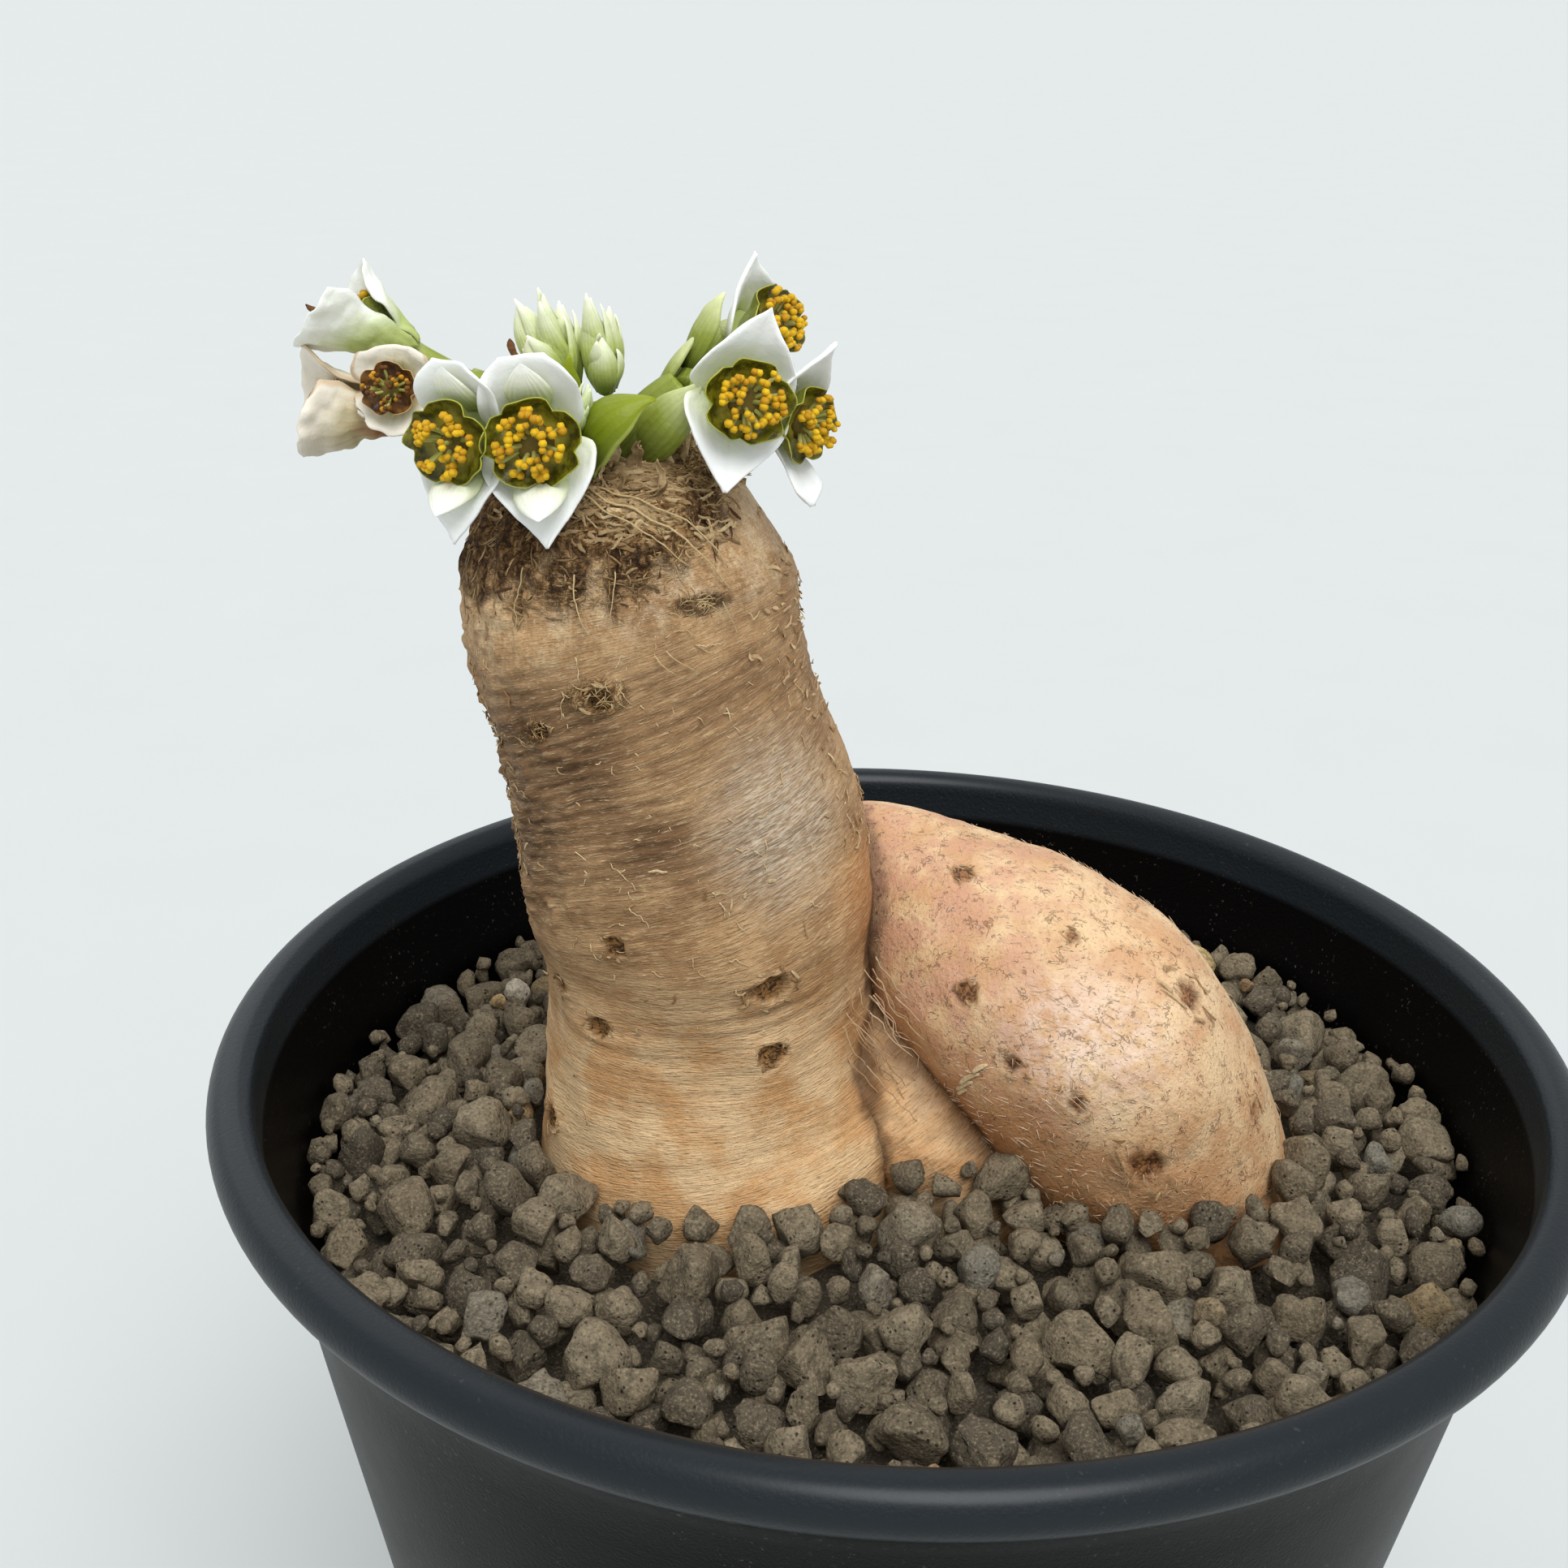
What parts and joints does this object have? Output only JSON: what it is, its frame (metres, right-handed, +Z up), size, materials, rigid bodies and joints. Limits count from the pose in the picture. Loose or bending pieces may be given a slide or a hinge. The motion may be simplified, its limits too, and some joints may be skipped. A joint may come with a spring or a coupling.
{
  "type": "potted euphorbia primulifolia",
  "caption": "Succulent with a fat leaning caudex and a side tuber, topped with small white-bracted blooms, in a round plastic pot of gravel.",
  "frame": {"origin": "centre of the pot's base, on the surface it stands on", "axes": "+Z up; the front of the plant faces -Y"},
  "size_m": [0.12, 0.12, 0.1694],
  "materials": {
    "pot_plastic": "satin with a fine grain",
    "gravel": "rough mixed grains",
    "bark": "matt, ringed and flaking",
    "green_stem": "smooth living tissue",
    "leaf": "smooth leaf",
    "bud": "smooth closed bud",
    "bract": "soft petal-like",
    "faded_bract": "dry and crinkled",
    "gland_disc": "wet-looking gland",
    "stamens": "powdery"
  },
  "bodies": {
    "root": {"pot": "pot_plastic", "stems": "green_stem", "leaf_curled": "leaf", "leaf_small": "leaf", "shoot_tip": "green_stem", "buds_left": "bud", "buds_right": "bud", "bloom_5_cup": "gland_disc", "bloom_5_stamens": "stamens", "bloom_4_cup": "gland_disc", "bloom_4_stamens": "stamens", "bloom_6_cup": "gland_disc", "bloom_6_stamens": "stamens", "bloom_8_cup": "gland_disc", "bloom_8_stamens": "stamens", "bloom_7_cup": "gland_disc", "bloom_7_stamens": "stamens", "bloom_2_cup": "gland_disc", "bloom_2_stamens": "stamens", "bloom_1_cup": "gland_disc", "bloom_1_stamens": "stamens", "bloom_3_cup": "gland_disc", "bloom_3_stamens": "stamens", "bloom_5_bracts": "bract", "bloom_4_bracts": "bract", "bloom_6_bracts": "bract", "bloom_8_bracts": "bract", "bloom_7_bracts": "bract", "bloom_2_bracts": "faded_bract", "bloom_1_bracts": "bract", "bloom_3_bracts": "faded_bract", "caudex": "bark", "gravel": "gravel"}
  },
  "joints": []
}
